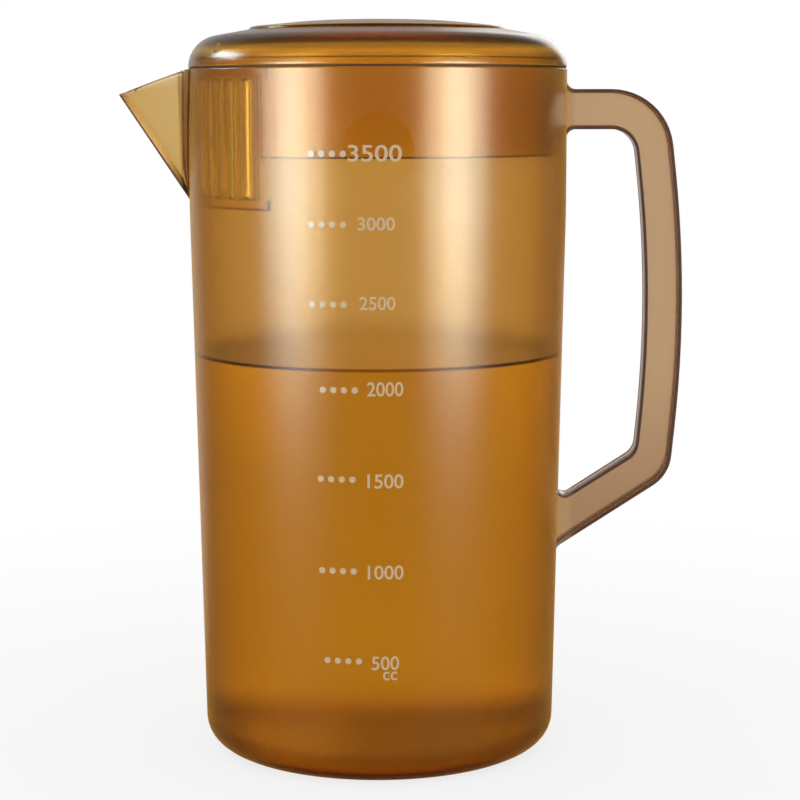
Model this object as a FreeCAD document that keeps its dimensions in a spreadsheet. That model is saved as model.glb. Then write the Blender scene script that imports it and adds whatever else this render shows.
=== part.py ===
import FreeCAD, Part
import math
import os
import re

import Sketcher

# Measuring jug with a beak spout, a D handle and a plug lid that turns to put its strainer at the spout.
# The origin is the middle of the foot, on the jug's axis. Up is +Z, the spout is at -X, the handle at +X.

doc = FreeCAD.newDocument("measuring_jug")
sheet = doc.addObject("Spreadsheet::Sheet", "sizes")

# Driving dimensions, in millimetres and degrees

SIZES = [
    ("base_radius", 69.1, "outside radius of the wall, carried down to the table"),
    ("mouth_radius", 73.5, "outside radius of the straight mouth"),
    ("taper_height", 212.0, "height at which the tapered wall becomes the straight mouth"),
    ("rim_height", 266.5, "height of the rim"),
    ("wall", 2.5, "thickness of the jug's wall"),
    ("floor_thickness", 3.0, "thickness of the jug's floor"),
    ("base_corner", 11.2, "outside radius of the edge between wall and base"),
    ("foot_recess", 1.5, "depth of the hollow under the floor"),
    ("foot_ring_width", 7.0, "width of the ring that the jug stands on"),
    ("spout_reach", 103.8, "spout tip from the axis, before the keel is rounded"),
    ("spout_tip_drop", 10.9, "spout tip below the rim, before the keel is rounded"),
    ("spout_depth", 56.6, "spout's root below the rim, before the keel is rounded"),
    ("spout_half_width", 16.0, "half the width of the spout's root at the rim"),
    ("spout_wall", 2.2, "thickness of the spout's walls"),
    ("spout_keel_radius", 2.2, "rounding along the spout's keel"),
    ("handle_drop", 7.9, "top of the handle below the rim"),
    ("handle_arm", 15.4, "depth of the upper arm"),
    ("handle_grip", 14.2, "width of the grip seen from the side"),
    ("handle_lower_arm", 14.8, "width of the lower arm, square to its slope"),
    ("handle_slope", 32.9, "slope of the lower arm"),
    ("handle_low_root", 78.9, "height at which the lower arm's underside meets the wall"),
    ("handle_back_top", 112.0, "back of the grip at the top, from the axis"),
    ("handle_back_belly", 121.5, "where the tangents of the bowed back meet, from the axis"),
    ("handle_belly_height", 177.4, "height at which those tangents meet"),
    ("handle_back_low", 114.8, "back of the grip at the lower arm, from the axis"),
    ("handle_top_corner", 24.4, "outside radius of the upper corner"),
    ("handle_top_inner", 9.8, "inside radius of the upper corner"),
    ("handle_low_corner", 15.8, "outside radius of the lower corner"),
    ("handle_low_inner", 7.6, "inside radius of the lower corner"),
    ("handle_root_fillet", 3.6, "fillets where the arms meet the wall"),
    ("handle_root_bite", 0.3, "how far the ends of those fillets run into the wall, before trimming"),
    ("handle_thickness", 13.0, "thickness of the handle, front to back"),
    ("handle_web", 3.0, "thickness of the web between the handle's edges"),
    ("handle_flange", 1.6, "thickness of the handle's raised edges"),
    ("gasket_thickness", 0.6, "thickness of the gasket between rim and lid"),
    ("gasket_width", 2.2, "width of the gasket"),
    ("gasket_clearance", 0.2, "gap between the gasket and the skirt inside it"),
    ("lid_overhang_gap", 0.2, "how far the lid's flange stays inside the wall's outside"),
    ("lid_wall", 2.4, "thickness of the dome"),
    ("lid_flange", 2.4, "thickness of the flange that carries the skirt"),
    ("dome_height", 10.3, "dome's shoulder above the flange's underside"),
    ("dome_draft", 0.8, "lean of the dome's side, from the flange to the shoulder"),
    ("dome_edge", 13.2, "outside radius of the dome's edge"),
    ("dome_edge_inside", 6.0, "inside radius of the dome's edge"),
    ("dome_rise", 4.0, "rise of the dome from its shoulder to the disc"),
    ("disc_radius", 49.8, "radius of the raised disc"),
    ("disc_clearance", 0.3, "gap around the disc in its seat"),
    ("disc_seat_depth", 1.6, "depth of the seat that the disc sits in"),
    ("disc_seat_width", 5.0, "width of the ledge under the disc"),
    ("disc_proud", 1.0, "how far the disc's rim stands above the dome"),
    ("disc_crown", 2.6, "rise of the disc from its rim to its middle"),
    ("disc_edge", 1.5, "rounding of the disc's upper edge"),
    ("disc_wall", 2.2, "thickness of the disc"),
    ("disc_rim", 4.0, "width of the rim under the disc's edge"),
    ("skirt_clearance", 0.4, "gap between the skirt and the mouth's bore"),
    ("skirt_wall", 1.2, "thickness of the skirt"),
    ("skirt_depth", 33.0, "lower edge of the skirt below the rim"),
    ("window_width", 47.6, "width of the skirt's window in front of the strainer"),
    ("window_top_drop", 3.0, "top of the window below the rim"),
    ("strainer_clearance", 0.1, "gap between the strainer and the skirt"),
    ("strainer_thickness", 2.0, "thickness of the strainer panel"),
    ("strainer_span", 42.4, "angle that the strainer panel covers"),
    ("strainer_depth", 52.2, "lower edge of the strainer below the rim"),
    ("strainer_corner", 2.0, "rounding of the strainer's lower corners"),
    ("slot_count", 6, "number of slots in the strainer"),
    ("slot_pitch", 6.6, "angle from slot to slot"),
    ("slot_width", 2.4, "width of a slot"),
    ("slot_top_drop", 4.0, "top of the slots below the rim"),
    ("slot_length", 44.5, "length of a slot"),
    ("rib_width", 1.8, "width of the ribs between the slots"),
    ("rib_height", 0.9, "height of the ribs on the panel"),
    ("lid_rest_turn", 55.8, "strainer from the jug's front, towards the spout, with the lid closed"),
    ("pointer_width", 1.8, "width of the pointer nub"),
    ("pointer_length", 4.0, "length of the pointer along the dome's edge"),
    ("pointer_proud", 1.0, "how far the pointer stands out of the dome"),
    ("pointer_lift", 34.0, "angle of the pointer up the dome's edge"),
]

for row, (alias, value, note) in enumerate(SIZES, start=1):
    sheet.set(f"A{row}", note)
    sheet.set(f"B{row}", str(value))
    sheet.setAlias(f"B{row}", alias)
doc.recompute()

ALIASES = {alias for alias, value, note in SIZES}


def bound(words):
    """The same expression with each size named as a cell of the sheet."""
    return re.sub(r"[a-z_]+", lambda m: f"sizes.{m[0]}" if m[0] in ALIASES else m[0], words)


def size(words):
    """The present value of an expression of the sheet's sizes."""
    return float(sheet.evalExpression(bound(words)))


# Places that several pieces share, as expressions of the sizes

BORE = "(mouth_radius - wall)"
TAPER = "((mouth_radius - base_radius) / taper_height)"
FLOOR = "(foot_recess + floor_thickness)"
LID_FLOOR = "(rim_height + gasket_thickness)"
LID_RADIUS = "(mouth_radius - lid_overhang_gap)"
SHOULDER = f"({LID_FLOOR} + dome_height)"
DISC_BASE = f"({SHOULDER} + dome_rise)"
SKIRT_OUTSIDE = f"({BORE} - skirt_clearance)"
SKIRT_INSIDE = f"({SKIRT_OUTSIDE} - skirt_wall)"
PANEL_OUTSIDE = f"({SKIRT_INSIDE} - strainer_clearance)"
PANEL_INSIDE = f"({PANEL_OUTSIDE} - strainer_thickness)"
OVERRUN = 20.0
SAME_PLACE = 1e-6
FULL_RUN = 0.995


def unit(vector):
    """The vector at length one."""
    return FreeCAD.Vector(vector).normalize()


def spot(across, up):
    """A point of a sketch from two expressions of the sizes."""
    return FreeCAD.Vector(size(across), size(up), 0)


def rounding(before, corner, after, radius):
    """Start, end and centre of the arc that rounds a corner between two neighbours."""
    back = unit(before - corner)
    ahead = unit(after - corner)
    half = back.getAngle(ahead) / 2
    reach = radius / math.tan(half)
    centre = corner + unit(back + ahead) * (radius / math.sin(half))
    return corner + back * reach, corner + ahead * reach, centre


def widest(before, corner, after):
    """Expression of the radius that rounds a corner over the whole run before it, less a hair."""
    back = [f"({there} - {here})" for there, here in zip(before, corner)]
    ahead = [f"({there} - {here})" for there, here in zip(after, corner)]
    run = f"sqrt({back[0]} ^ 2 + {back[1]} ^ 2)"
    next_run = f"sqrt({ahead[0]} ^ 2 + {ahead[1]} ^ 2)"
    along = f"({back[0]} * {ahead[0]} + {back[1]} * {ahead[1]})"
    across = f"abs({back[0]} * {ahead[1]} - {back[1]} * {ahead[0]})"
    return f"({FULL_RUN} * {run} * {across} / ({run} * {next_run} + {along}))"


def draw_outline(sketch, corners):
    """A closed outline of straight runs with rounded corners.

    Each corner is (across, up, radius) in expressions of the sizes. A point of construction stands at each
    corner, bound to the sheet. The runs pass through these points, and arcs of the bound radius join them.
    """
    spots = [spot(across, up) for across, up, radius in corners]
    count = len(corners)
    starts = list(spots)
    ends = list(spots)
    arcs = {}
    for i, (across, up, radius) in enumerate(corners):
        if radius is None:
            continue
        after = spots[(i + 1) % count]
        ends[i], starts[i], centre = rounding(spots[i - 1], spots[i], after, size(radius))
        turns_left = (spots[i - 1] - spots[i]).cross(after - spots[i]).z < 0
        first, last = (ends[i], starts[i]) if turns_left else (starts[i], ends[i])
        angle_first = math.atan2(first.y - centre.y, first.x - centre.x)
        angle_last = math.atan2(last.y - centre.y, last.x - centre.x)
        circle = Part.Circle(centre, FreeCAD.Vector(0, 0, 1), size(radius))
        arcs[i] = (Part.ArcOfCircle(circle, angle_first, angle_last), turns_left)

    points = [sketch.addGeometry(Part.Point(spot), True) for spot in spots]
    lines = [
        sketch.addGeometry(Part.LineSegment(starts[i], ends[(i + 1) % count]), False)
        for i in range(count)
    ]
    for i, (across, up, radius) in enumerate(corners):
        for way, words in (("DistanceX", across), ("DistanceY", up)):
            made = sketch.addConstraint(Sketcher.Constraint(way, -1, 1, points[i], 1, size(words)))
            sketch.setExpression(f"Constraints[{made}]", bound(words))
        line_in, line_out = lines[i - 1], lines[i]
        if radius is None:
            sketch.addConstraint(Sketcher.Constraint("Coincident", line_in, 2, points[i], 1))
            sketch.addConstraint(Sketcher.Constraint("Coincident", line_out, 1, points[i], 1))
            continue
        arc, turns_left = arcs[i]
        curve = sketch.addGeometry(arc, False)
        end_in, end_out = (1, 2) if turns_left else (2, 1)
        sketch.addConstraint(Sketcher.Constraint("PointOnObject", points[i], 1, line_in))
        sketch.addConstraint(Sketcher.Constraint("PointOnObject", points[i], 1, line_out))
        sketch.addConstraint(Sketcher.Constraint("Tangent", line_in, 2, curve, end_in))
        sketch.addConstraint(Sketcher.Constraint("Tangent", line_out, 1, curve, end_out))
        made = sketch.addConstraint(Sketcher.Constraint("Radius", curve, size(radius)))
        sketch.setExpression(f"Constraints[{made}]", bound(radius))


def body_sketch(body, name, corners, turn=0.0, out=0.0):
    """An outline on the body's XZ plane, turned about the body's Z axis and moved out along its normal."""
    sketch = body.newObject("Sketcher::SketchObject", name)
    plane = next(f for f in body.Origin.OriginFeatures if f.Role == "XZ_Plane")
    sketch.AttachmentSupport = [(plane, "")]
    sketch.MapMode = "FlatFace"
    turned = FreeCAD.Rotation(FreeCAD.Vector(0, 1, 0), turn)
    sketch.AttachmentOffset = FreeCAD.Placement(turned.multVec(FreeCAD.Vector(0, 0, out)), turned)
    draw_outline(sketch, corners)
    return sketch


def turned_body(name, corners, angle=None):
    """A body turned about Z from its half section, whole or through an angle that lies evenly about +X."""
    body = doc.addObject("PartDesign::Body", name)
    section = body_sketch(body, f"{name}_section", corners)
    turning = body.newObject("PartDesign::Revolution", f"{name}_turning")
    turning.Profile = section
    turning.ReferenceAxis = (section, ["V_Axis"])
    if angle is not None:
        turning.Midplane = True
        turning.setExpression("Angle", bound(angle))
    doc.recompute()
    return body


def cut(name, base, tool):
    """One shape less another."""
    less = doc.addObject("Part::Cut", name)
    less.Base = base
    less.Tool = tool
    doc.recompute()
    return less


# Jug: the wall with its floor and foot ring, turned, before the spout's notch is cut

jug_turned = turned_body("jug_turned", [
    ("0", "foot_recess", None),
    ("base_radius - base_corner - foot_ring_width", "foot_recess", None),
    ("base_radius - base_corner - foot_ring_width", "0", None),
    ("base_radius", "0", "base_corner"),
    ("mouth_radius", "taper_height", None),
    ("mouth_radius", "rim_height", None),
    (BORE, "rim_height", None),
    (BORE, "taper_height", None),
    (f"base_radius - wall + {TAPER} * {FLOOR}", FLOOR, "base_corner - wall"),
    ("0", FLOOR, None),
])

# Outside of the jug as a full block, which trims whatever stands against the wall

jug_block = turned_body("jug_block", [
    ("0", "0", None),
    ("base_radius", "0", "base_corner"),
    ("mouth_radius", "taper_height", None),
    ("mouth_radius", f"rim_height + {OVERRUN}", None),
    ("0", f"rim_height + {OVERRUN}", None),
])

# Spout: a pyramid with its point at the tip, hollowed by the same pyramid moved in and left open on top

KEEL_RUN = "(spout_reach - mouth_radius)"
KEEL_FALL = "(spout_depth - spout_tip_drop)"
KEEL_LENGTH = f"sqrt({KEEL_RUN} ^ 2 + {KEEL_FALL} ^ 2)"
SPREAD = f"(spout_half_width * {KEEL_LENGTH} / ({KEEL_RUN} * spout_depth))"
KEEL_SHIFT = f"(spout_wall * sqrt(1 + {SPREAD} ^ 2) / {SPREAD})"
NOTCH_SAG = f"(spout_half_width ^ 2 / {BORE})"
SPOUT_GROWTH = f"((spout_reach - {BORE} + wall + {NOTCH_SAG}) / {KEEL_RUN})"
HEAD_ROOM = 0.5


def spout_pyramid(shift_across=0.0, shift_up=0.0, head_room=0.0):
    """Four flat faces: from a triangle just inside the wall's bore to the tip, moved across and up.

    Head room carries the triangle's sides on upwards by a share of their length.
    """
    growth = size(SPOUT_GROWTH)
    tip_height = size("rim_height - spout_tip_drop")
    root = -size(f"spout_reach - {KEEL_RUN} * {SPOUT_GROWTH}")
    upper = tip_height + size("spout_tip_drop") * growth
    half = size("spout_half_width") * growth
    move = FreeCAD.Vector(shift_across, 0, shift_up)
    tip = FreeCAD.Vector(-size("spout_reach"), 0, tip_height) + move
    low = FreeCAD.Vector(root, 0, tip_height - size(KEEL_FALL) * growth) + move
    near = FreeCAD.Vector(root, -half, upper) + move
    far = FreeCAD.Vector(root, half, upper) + move
    near += (near - low) * head_room
    far += (far - low) * head_room
    sides = [(tip, near, far), (tip, low, near), (tip, far, low), (low, far, near)]
    faces = [Part.Face(Part.makePolygon([*side, side[0]])) for side in sides]
    solid = Part.makeSolid(Part.makeShell(faces))
    if solid.Volume < 0:
        solid.reverse()
    return solid


def keel_edge(solid):
    """The edge of the pyramid that lies in the jug's middle plane."""
    return next(e for e in solid.Edges if all(abs(v.Point.y) < SAME_PLACE for v in e.Vertexes))


def block_above_rim():
    """A slab over the whole jug, from the rim up."""
    across = 2 * (size("spout_reach") + OVERRUN)
    corner = FreeCAD.Vector(-across / 2, -across / 2, size("rim_height"))
    return Part.makeBox(across, across, OVERRUN, corner)


spout_outside = spout_pyramid()
spout_outside = spout_outside.makeFillet(size("spout_keel_radius"), [keel_edge(spout_outside)])
spout_channel = doc.addObject("Part::Feature", "spout_channel")
spout_channel.Shape = spout_pyramid(
    size(f"{KEEL_SHIFT} * {KEEL_FALL} / {KEEL_LENGTH}"),
    size(f"{KEEL_SHIFT} * {KEEL_RUN} / {KEEL_LENGTH}"),
    HEAD_ROOM,
)
spout_form = doc.addObject("Part::Feature", "spout_form")
spout_form.Shape = spout_outside.cut(block_above_rim())
pour_spout = cut("pour_spout", cut("spout_shell", spout_form, spout_channel), jug_block)
jug_body = cut("jug_body", jug_turned, spout_channel)

# Handle: a side outline given its thickness, with recesses that leave a web between raised edges

HANDLE_TOP = "(rim_height - handle_drop)"
LOW_WALL = f"(base_radius + {TAPER} * handle_low_root)"
STUB = "(min(base_radius; mouth_radius) - wall)"
ROOT_SINK = "(mouth_radius - sqrt(mouth_radius ^ 2 - (handle_thickness / 2) ^ 2) + handle_root_bite)"
TOP_LINE = f"(mouth_radius - {ROOT_SINK})"
LOW_LINE = f"({LOW_WALL} - {ROOT_SINK})"
ARM_RISE = "(handle_lower_arm / cos(handle_slope))"
FLARE_SHARE = 1.05
FLARE = f"({FLARE_SHARE} * handle_root_fillet)"
FLARE_UNDER = f"({FLARE} * tan((90 - handle_slope) / 2))"
FLARE_OVER = f"({FLARE} / tan((90 - handle_slope) / 2))"


def underside(across):
    """Height of the lower arm's underside at a distance from the axis."""
    return f"(handle_low_root + (({across}) - {LOW_WALL}) * tan(handle_slope))"


LEAN_TOP = f"((handle_back_belly - handle_back_top) / ({HANDLE_TOP} - handle_belly_height))"
BACK_LOW = underside("handle_back_low")
LEAN_LOW = f"((handle_back_belly - handle_back_low) / (handle_belly_height - {BACK_LOW}))"


def upper_corner(belly, up, radius):
    """Where the grip's upper tangent through a belly point meets a height."""
    return (f"({belly} - {LEAN_TOP} * ({up} - handle_belly_height))", up, radius)


def lower_corner(belly, rise, radius):
    """Where the grip's lower tangent through a belly point meets a line above the arm's underside."""
    run = f"({belly} - {LEAN_LOW} * (handle_belly_height - {rise} - {underside(0)}))"
    across = f"({run} / (1 - {LEAN_LOW} * tan(handle_slope)))"
    return (across, f"({underside(across)} + {rise})", radius)


GRIP_FRONT = "(handle_back_belly - handle_grip)"
FRONT_LOW = lower_corner(GRIP_FRONT, ARM_RISE, None)[1]
RUN_LOW = f"(handle_belly_height - {FRONT_LOW} - handle_low_inner)"
RUN_TOP = f"({HANDLE_TOP} - handle_arm - handle_top_inner - handle_belly_height)"
BOW_SHARE = 0.95
GRIP_BOW = f"({BOW_SHARE} * min({RUN_LOW}; {RUN_TOP}) * 2 / abs({LEAN_TOP} + {LEAN_LOW}))"


def grip_back(inset):
    """Corners of the handle's back, moved in by an inset."""
    belly = f"(handle_back_belly - {inset})"
    return [
        upper_corner(belly, f"({HANDLE_TOP} - {inset})", f"handle_top_corner - {inset}"),
        (belly, "handle_belly_height", GRIP_BOW),
        lower_corner(belly, f"({inset} / cos(handle_slope))", f"handle_low_corner - {inset}"),
    ]


def grip_front(inset):
    """Corners of the handle's finger side, moved in by an inset."""
    belly = f"({GRIP_FRONT} + {inset})"
    rise = f"({ARM_RISE} - {inset} / cos(handle_slope))"
    return [
        lower_corner(belly, rise, f"handle_low_inner + {inset}"),
        (belly, "handle_belly_height", GRIP_BOW),
        upper_corner(belly, f"({HANDLE_TOP} - handle_arm + {inset})", f"handle_top_inner + {inset}"),
    ]


def side_sketch(name, corners):
    """An outline in the jug's middle plane."""
    sketch = doc.addObject("Sketcher::SketchObject", name)
    sketch.Placement.Rotation = FreeCAD.Rotation(FreeCAD.Vector(1, 0, 0), 90)
    draw_outline(sketch, corners)
    return sketch


LOW_UNDER = underside(LOW_LINE)
LOW_OVER = f"({LOW_UNDER} + {ARM_RISE})"
handle_outline = side_sketch("handle_outline", [
    (STUB, f"{HANDLE_TOP} + {FLARE}", None),
    (TOP_LINE, f"{HANDLE_TOP} + {FLARE}", None),
    (TOP_LINE, HANDLE_TOP, "handle_root_fillet"),
    *grip_back("0"),
    (LOW_LINE, LOW_UNDER, "handle_root_fillet"),
    (LOW_LINE, f"{LOW_UNDER} - {FLARE_UNDER}", None),
    (STUB, f"{LOW_UNDER} - {FLARE_UNDER}", None),
    (STUB, f"{LOW_OVER} + {FLARE_OVER}", None),
    (LOW_LINE, f"{LOW_OVER} + {FLARE_OVER}", None),
    (LOW_LINE, LOW_OVER, "handle_root_fillet"),
    *grip_front("0"),
    (TOP_LINE, f"{HANDLE_TOP} - handle_arm", "handle_root_fillet"),
    (TOP_LINE, f"{HANDLE_TOP} - handle_arm - {FLARE}", None),
    (STUB, f"{HANDLE_TOP} - handle_arm - {FLARE}", None),
])
FLANGE_RISE = "(handle_flange / cos(handle_slope))"
recess_outline = side_sketch("recess_outline", [
    (STUB, f"{HANDLE_TOP} - handle_flange", None),
    *grip_back("handle_flange"),
    (STUB, f"{underside(STUB)} + {FLANGE_RISE}", None),
    (STUB, f"{underside(STUB)} + {ARM_RISE} - {FLANGE_RISE}", None),
    *grip_front("handle_flange"),
    (STUB, f"{HANDLE_TOP} - handle_arm + handle_flange", None),
])


def extrude(name, outline, along, length):
    """An outline given depth along a direction."""
    solid = doc.addObject("Part::Extrusion", name)
    solid.Base = outline
    solid.DirMode = "Custom"
    solid.Dir = along
    solid.Solid = True
    solid.setExpression("LengthFwd", bound(length))
    return solid


handle_block = extrude("handle_block", handle_outline, FreeCAD.Vector(0, 1, 0), "handle_thickness")
handle_block.Symmetric = True
handle_shape = handle_block
for side, way in (("front", -1), ("back", 1)):
    recess = extrude(f"{side}_recess", recess_outline, FreeCAD.Vector(0, way, 0), "handle_thickness")
    recess.Placement.Base.y = way * size("handle_web / 2")
    handle_shape = cut(f"{side}_recessed", handle_shape, recess)
handle = cut("handle", handle_shape, jug_block)

# Gasket: a flat soft ring on the rim, around the lid's skirt

lid_gasket = turned_body("lid_gasket", [
    (f"{SKIRT_OUTSIDE} + gasket_clearance", "rim_height", None),
    (f"{SKIRT_OUTSIDE} + gasket_clearance + gasket_width", "rim_height", None),
    (f"{SKIRT_OUTSIDE} + gasket_clearance + gasket_width", LID_FLOOR, None),
    (f"{SKIRT_OUTSIDE} + gasket_clearance", LID_FLOOR, None),
])

# Lid dome: a shell over a flat flange, open in the middle, with a ledge for the disc

DISC_SEAT = f"({DISC_BASE} - disc_seat_depth)"
SEAT_WALL = "(disc_radius + disc_clearance)"
DOME_SIDE = [(LID_RADIUS, LID_FLOOR), (f"({LID_RADIUS} - dome_draft)", SHOULDER), (SEAT_WALL, DISC_BASE)]
DOME_INSIDE = [
    (f"({LID_RADIUS} - lid_wall)", f"({LID_FLOOR} + lid_flange)"),
    (f"({LID_RADIUS} - lid_wall)", f"({SHOULDER} - lid_wall)"),
    (f"({SEAT_WALL} - disc_seat_width)", f"({DISC_SEAT} - lid_wall)"),
]
DOME_EDGE = f"min(dome_edge; {widest(*DOME_SIDE)})"
lid_dome = turned_body("lid_dome", [
    (SKIRT_INSIDE, LID_FLOOR, None),
    (*DOME_SIDE[0], None),
    (*DOME_SIDE[1], DOME_EDGE),
    (*DOME_SIDE[2], None),
    (SEAT_WALL, DISC_SEAT, None),
    (f"{SEAT_WALL} - disc_seat_width", DISC_SEAT, None),
    (*DOME_INSIDE[2], None),
    (*DOME_INSIDE[1], f"min(dome_edge_inside; {widest(*DOME_INSIDE)})"),
    (*DOME_INSIDE[0], None),
    (SKIRT_INSIDE, f"{LID_FLOOR} + lid_flange", None),
])

# Top disc: a crowned cap in the dome's seat, its crown an arc between two tangents that meet half way in

DISC_RIM = f"({DISC_BASE} + disc_proud)"
DISC_TOP = f"({DISC_RIM} + disc_crown)"
HALF_DISC = "(disc_radius / 2)"
CROWN_SLOPE = f"(disc_crown / {HALF_DISC})"
CROWN_SHARE = 0.85
CROWN_BOW = f"({CROWN_SHARE} * {HALF_DISC} * {CROWN_SLOPE} / (sqrt(1 + {CROWN_SLOPE} ^ 2) - 1))"
UNDER_RIM = f"({DISC_TOP} - disc_wall - {CROWN_SLOPE} * ({HALF_DISC} - disc_rim))"
lid_top_disc = turned_body("lid_top_disc", [
    ("0", f"{DISC_TOP} - disc_wall", None),
    (HALF_DISC, f"{DISC_TOP} - disc_wall", f"{CROWN_BOW} * (1 - disc_rim / {HALF_DISC})"),
    ("disc_radius - disc_rim", UNDER_RIM, None),
    ("disc_radius - disc_rim", DISC_SEAT, None),
    ("disc_radius", DISC_SEAT, None),
    ("disc_radius", DISC_RIM, "disc_edge"),
    (HALF_DISC, DISC_TOP, CROWN_BOW),
    ("0", DISC_TOP, None),
])

# Skirt: a ring inside the mouth, with a window in front of the strainer

lid_skirt = turned_body("lid_skirt", [
    (SKIRT_INSIDE, "rim_height - skirt_depth", None),
    (SKIRT_OUTSIDE, "rim_height - skirt_depth", None),
    (SKIRT_OUTSIDE, LID_FLOOR, None),
    (SKIRT_INSIDE, LID_FLOOR, None),
])
window_outline = body_sketch(lid_skirt, "window_outline", [
    ("-window_width / 2", "rim_height - skirt_depth - wall", None),
    ("window_width / 2", "rim_height - skirt_depth - wall", None),
    ("window_width / 2", "rim_height - window_top_drop", None),
    ("-window_width / 2", "rim_height - window_top_drop", None),
])
window = lid_skirt.newObject("PartDesign::Pocket", "window")
window.Profile = window_outline
window.Reversed = True
window.setExpression("Length", bound("mouth_radius"))
doc.recompute()

# Strainer: a curved panel behind the window, with upright slots and ribs between them

PANEL_LOW = "(rim_height - strainer_depth)"
SLOT_TOP = "(rim_height - slot_top_drop)"
FACES_OUT = 90.0
END_SHARE = 0.4
RIB_ROOT = "(strainer_thickness / 4)"
SLOT_CUT = "(2 * strainer_thickness + rib_height)"
strainer_panel = turned_body("strainer_panel", [
    (PANEL_INSIDE, PANEL_LOW, None),
    (PANEL_OUTSIDE, PANEL_LOW, None),
    (PANEL_OUTSIDE, LID_FLOOR, None),
    (PANEL_INSIDE, LID_FLOOR, None),
], angle="strainer_span")


def upright(width):
    """Corners of an upright strip as long as a slot, about the sketch's middle, with rounded ends."""
    low = f"{SLOT_TOP} - slot_length"
    corner = f"{END_SHARE} * {width}"
    return [
        (f"-{width} / 2", low, corner),
        (f"{width} / 2", low, corner),
        (f"{width} / 2", SLOT_TOP, corner),
        (f"-{width} / 2", SLOT_TOP, corner),
    ]


def in_a_row(body, feature, count):
    """Copies of a feature around the jug's axis, one slot pitch apart."""
    row = body.newObject("PartDesign::PolarPattern", f"{feature.Name}_row")
    row.Originals = [feature]
    axis = next(f for f in body.Origin.OriginFeatures if f.Role == "Z_Axis")
    row.Axis = (axis, [""])
    row.setExpression("Angle", bound(f"slot_pitch * ({count} - 1)"))
    row.setExpression("Occurrences", bound(count))
    body.Tip = row
    doc.recompute()


def first_turn(count):
    """Turn of the first of a row, so that the row lies evenly about the panel's middle."""
    return FACES_OUT - size(f"slot_pitch * ({count} - 1) / 2")


rib_outline = body_sketch(
    strainer_panel, "rib_outline", upright("rib_width"),
    turn=first_turn("(slot_count - 1)"), out=size(f"{PANEL_OUTSIDE} - {RIB_ROOT}"),
)
rib = strainer_panel.newObject("PartDesign::Pad", "rib")
rib.Profile = rib_outline
rib.setExpression("Length", bound(f"rib_height + {RIB_ROOT}"))
in_a_row(strainer_panel, rib, "(slot_count - 1)")

slot_outline = body_sketch(
    strainer_panel, "slot_outline", upright("slot_width"),
    turn=first_turn("slot_count"), out=size(f"{PANEL_OUTSIDE} + rib_height"),
)
slot = strainer_panel.newObject("PartDesign::Pocket", "slot")
slot.Profile = slot_outline
slot.setExpression("Length", bound(SLOT_CUT))
in_a_row(strainer_panel, slot, "slot_count")


def is_lower_corner(edge):
    """Is this one of the panel's two short straight edges at its lower corners?"""
    low = all(abs(v.Point.z - size(PANEL_LOW)) < SAME_PLACE for v in edge.Vertexes)
    return low and abs(edge.Length - size("strainer_thickness")) < SAME_PLACE


square_panel = strainer_panel.Tip
corner_names = [
    f"Edge{number}"
    for number, edge in enumerate(square_panel.Shape.Edges, start=1)
    if is_lower_corner(edge)
]
lower_corners = strainer_panel.newObject("PartDesign::Fillet", "lower_corners")
lower_corners.Base = (square_panel, corner_names)
lower_corners.setExpression("Radius", bound("strainer_corner"))
doc.recompute()

# Pointer: a nub on the dome's rounded edge, over the middle of the strainer

POINTER_SINK = "(lid_wall / 2)"
pointer_block = doc.addObject("Part::Box", "pointer_block")
pointer_block.setExpression("Length", bound(f"pointer_proud + {POINTER_SINK}"))
pointer_block.setExpression("Width", bound("pointer_width"))
pointer_block.setExpression("Height", bound("pointer_length"))
*ends, centre = rounding(*(spot(*place) for place in DOME_SIDE), size(DOME_EDGE))
edge_centre = FreeCAD.Vector(centre.x, 0, centre.y)
lean = FreeCAD.Rotation(FreeCAD.Vector(0, 1, 0), -size("pointer_lift"))
block_corner = FreeCAD.Vector(
    size(f"dome_edge - {POINTER_SINK}"), -size("pointer_width / 2"), -size("pointer_length / 2")
)
pointer_block.Placement = FreeCAD.Placement(edge_centre + lean.multVec(block_corner), lean)
doc.recompute()
lid_pointer = cut("lid_pointer", pointer_block, lid_dome)

# The lid's pieces turned to where the closed lid stands

toward_strainer = FreeCAD.Rotation(FreeCAD.Vector(0, 0, 1), -size("lid_rest_turn"))
from_plus_x = FreeCAD.Rotation(FreeCAD.Vector(0, 0, 1), -FACES_OUT - size("lid_rest_turn"))
lid_skirt.Placement.Rotation = toward_strainer
strainer_panel.Placement.Rotation = from_plus_x
lid_pointer.Placement.Rotation = from_plus_x

# Every object is sound before anything is written

doc.recompute()
for thing in doc.Objects:
    if {"Invalid", "Error"} & set(thing.State):
        raise RuntimeError(f"{thing.Label} failed: {thing.State}")

NODES = [
    jug_body, pour_spout, handle, lid_gasket,
    lid_dome, lid_top_disc, lid_skirt, strainer_panel, lid_pointer,
]
for node in NODES:
    if node.Shape.isNull() or not node.Shape.isValid() or not node.Shape.Solids:
        raise RuntimeError(f"{node.Label} has no sound shape")

os.makedirs("parts", exist_ok=True)
for node in NODES:
    node.Shape.exportStep(f"parts/{node.Label}.step")
    print(node.Label, len(node.Shape.Solids), "solids", round(node.Shape.Volume), "mm3")
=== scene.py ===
import math

import bmesh
import bpy
import numpy as np
from mathutils import Matrix, Vector


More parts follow.
